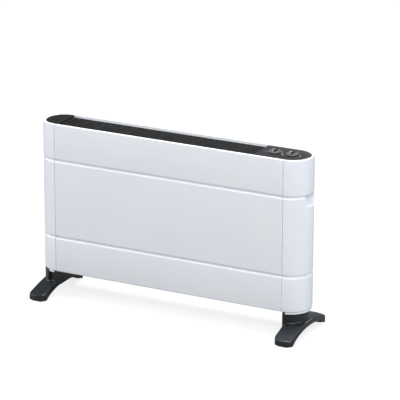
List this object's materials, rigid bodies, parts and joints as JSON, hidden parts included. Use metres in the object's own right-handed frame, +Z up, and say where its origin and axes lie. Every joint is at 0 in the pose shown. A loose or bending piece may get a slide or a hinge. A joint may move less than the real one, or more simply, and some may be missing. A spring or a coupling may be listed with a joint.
{
  "type": "panel convector heater",
  "caption": "Panel convector heater with round ends, grooved white casing, recessed slatted top outlet, rotary thermostat and heat selector, wall hangers and arched feet.",
  "frame": {"origin": "on the floor, below the middle of the casing", "axes": "+X along the casing towards the controls, +Y towards the wall behind, +Z up; the front faces -Y"},
  "size_m": [0.727, 0.2118, 0.4573],
  "materials": {
    "white_enamel": "smooth white powder coat, satin",
    "white_plastic": "smooth white moulding, satin",
    "black_plastic": "fine-grained black moulding",
    "grey_plastic": "dark grey matt control panel",
    "foot_plastic": "dark charcoal satin moulding",
    "rubber": "black rubber",
    "aluminium": "extruded, as drawn",
    "galvanised": "zinc-coated sheet",
    "steel": "bright steel",
    "ceramic": "unglazed steatite ceramic",
    "moulded_brown": "brown phenolic moulding",
    "lead_red": "silicone insulation",
    "lead_blue": "silicone insulation"
  },
  "bodies": {
    "heater_body": {"control_bracket": "galvanised", "control_panel": "grey_plastic", "cord_gland": "black_plastic", "front_heat_shield": "galvanised", "front_panel": "white_enamel", "inlet_grille": "black_plastic", "left_cap_base": "white_plastic", "left_cap_screw_1": "steel", "left_cap_screw_2": "steel", "left_end_cap": "white_plastic", "left_end_frame": "galvanised", "left_foot": "foot_plastic", "left_front_foot_screw": "steel", "left_front_pad": "rubber", "left_hanger_screw_1": "steel", "left_hanger_screw_2": "steel", "left_rear_foot_screw": "steel", "left_rear_pad": "rubber", "left_top_plate": "black_plastic", "left_wall_hanger": "galvanised", "live_lead": "lead_red", "lower_element_fins": "aluminium", "lower_element_lead": "lead_blue", "lower_element_sheath": "steel", "lower_left_bush": "ceramic", "lower_right_bush": "ceramic", "outlet_grille": "black_plastic", "rear_heat_shield": "galvanised", "rear_panel": "white_enamel", "right_cap_base": "white_plastic", "right_cap_screw_1": "steel", "right_cap_screw_2": "steel", "right_end_cap": "white_plastic", "right_end_frame": "galvanised", "right_foot": "foot_plastic", "right_front_foot_screw": "steel", "right_front_pad": "rubber", "right_hanger_screw_1": "steel", "right_hanger_screw_2": "steel", "right_rear_foot_screw": "steel", "right_rear_pad": "rubber", "right_wall_hanger": "galvanised", "selector_body": "moulded_brown", "switch_lead": "lead_red", "terminal_block": "white_plastic", "thermal_cutout": "ceramic", "thermostat_body": "moulded_brown", "upper_element_fins": "aluminium", "upper_element_lead": "lead_blue", "upper_element_sheath": "steel", "upper_left_bush": "ceramic", "upper_right_bush": "ceramic"},
    "thermostat_dial": {"thermostat_knob": "black_plastic", "thermostat_shaft": "steel"},
    "selector_dial": {"selector_knob": "black_plastic", "selector_shaft": "steel"}
  },
  "joints": [
    {"name": "thermostat_turn", "type": "hinge", "parent": "heater_body", "child": "thermostat_dial", "pos_m": [0.263, 0, 0.4483], "axis": [0, 0, -1], "range_deg": [-135, 135]},
    {"name": "selector_turn", "type": "hinge", "parent": "heater_body", "child": "selector_dial", "pos_m": [0.308, 0, 0.4483], "axis": [0, 0, -1], "range_deg": [-120, 120]}
  ]
}
